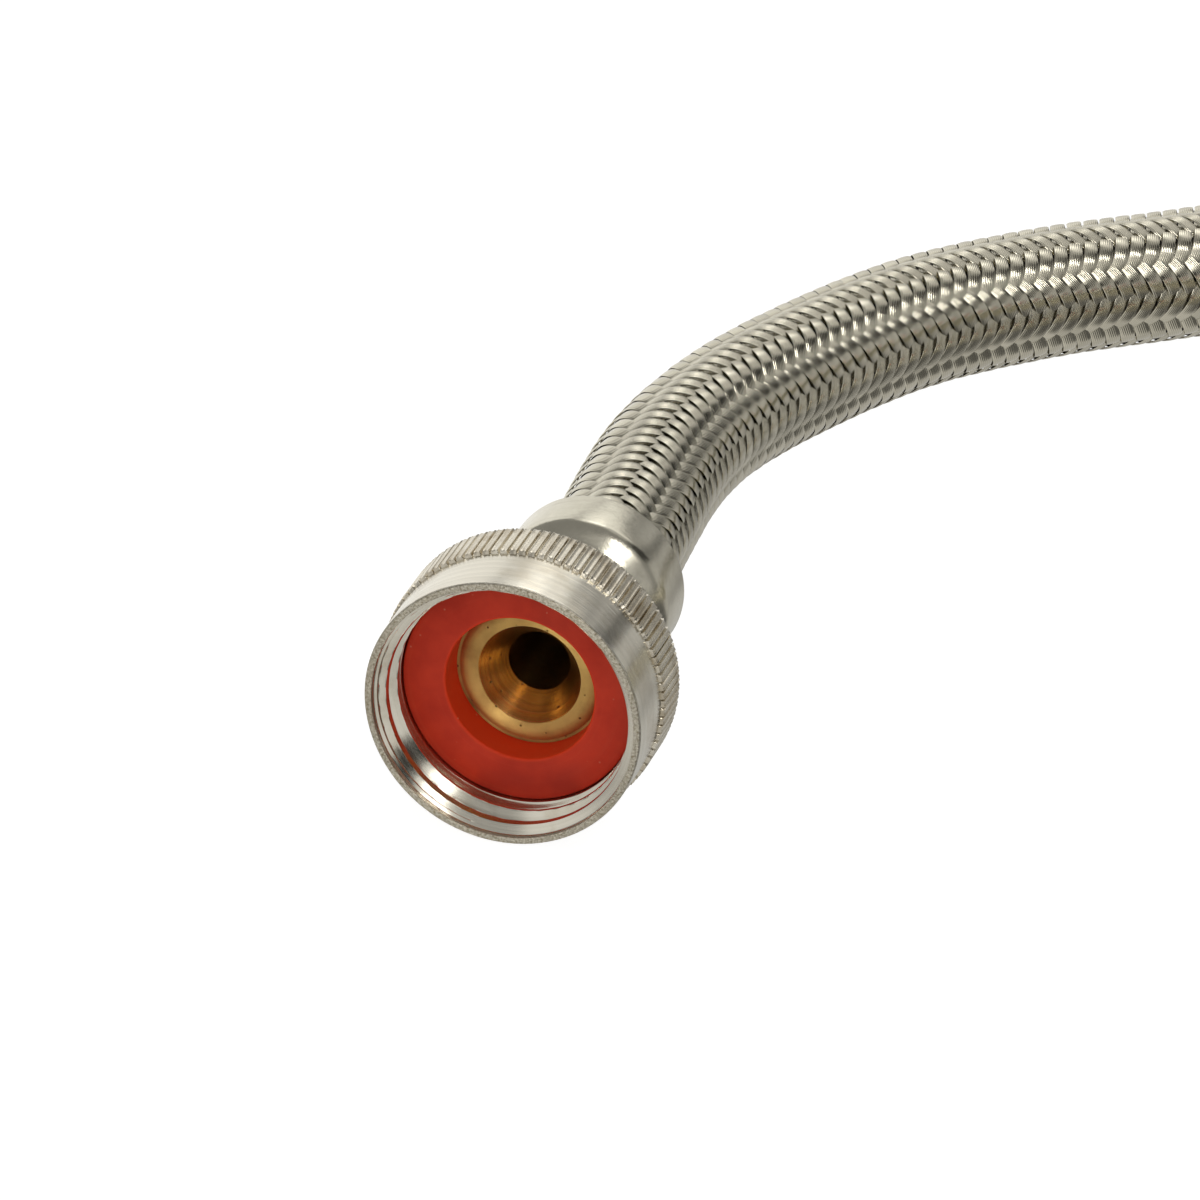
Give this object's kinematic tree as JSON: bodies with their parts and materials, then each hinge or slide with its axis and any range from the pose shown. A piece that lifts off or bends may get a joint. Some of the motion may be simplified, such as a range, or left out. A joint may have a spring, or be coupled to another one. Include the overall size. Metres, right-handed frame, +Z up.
{
  "type": "braided supply line",
  "caption": "Flexible water supply hose with a braided steel sleeve, crimped ends and a knurled swivel coupling nut with a red washer at each end.",
  "frame": {"origin": "on the ground, below the middle of the near coupling (nut, washer, stem and ferrule)", "axes": "+Z up, -Y out of the near coupling's mouth, +Y back along the hose, +X to the side the hose bends to"},
  "size_m": [0.2859, 0.2099, 0.0308],
  "materials": {
    "nickel": "nickel plate, turned",
    "washer": "matt red rubber",
    "brass": "turned, bare",
    "sleeve": "satin, pressed",
    "tube": "matt black rubber",
    "braid": "bright woven wire",
    "tie": "natural nylon"
  },
  "bodies": {
    "hose": {"inlet_stem": "brass", "inlet_ferrule": "sleeve", "inlet_run_tube": "tube", "inlet_run_braid": "braid", "hose_coil": "braid", "outlet_run_tube": "tube", "outlet_run_braid": "braid", "outlet_ferrule": "sleeve", "outlet_stem": "brass", "coil_tie_back": "tie", "coil_tie_front": "tie"},
    "inlet_seal": {"inlet_washer": "washer"},
    "inlet_coupling": {"inlet_nut": "nickel"},
    "outlet_seal": {"outlet_washer": "washer"},
    "outlet_coupling": {"outlet_nut": "nickel"}
  },
  "joints": [
    {"name": "inlet_swivel", "type": "hinge", "parent": "hose", "child": "inlet_seal", "pos_m": [0, 0, 0.0154], "axis": [0, -1, 0], "continuous": true},
    {"name": "inlet_play", "type": "slide", "parent": "inlet_seal", "child": "inlet_coupling", "axis": [0, 1, 0], "range_m": [0, 0.0005]},
    {"name": "outlet_swivel", "type": "hinge", "parent": "hose", "child": "outlet_seal", "pos_m": [0.12004, 0.04743, 0.0154], "axis": [-0.6428, 0.766, 0], "continuous": true},
    {"name": "outlet_play", "type": "slide", "parent": "outlet_seal", "child": "outlet_coupling", "axis": [0.6428, -0.766, 0], "range_m": [0, 0.0005]}
  ]
}
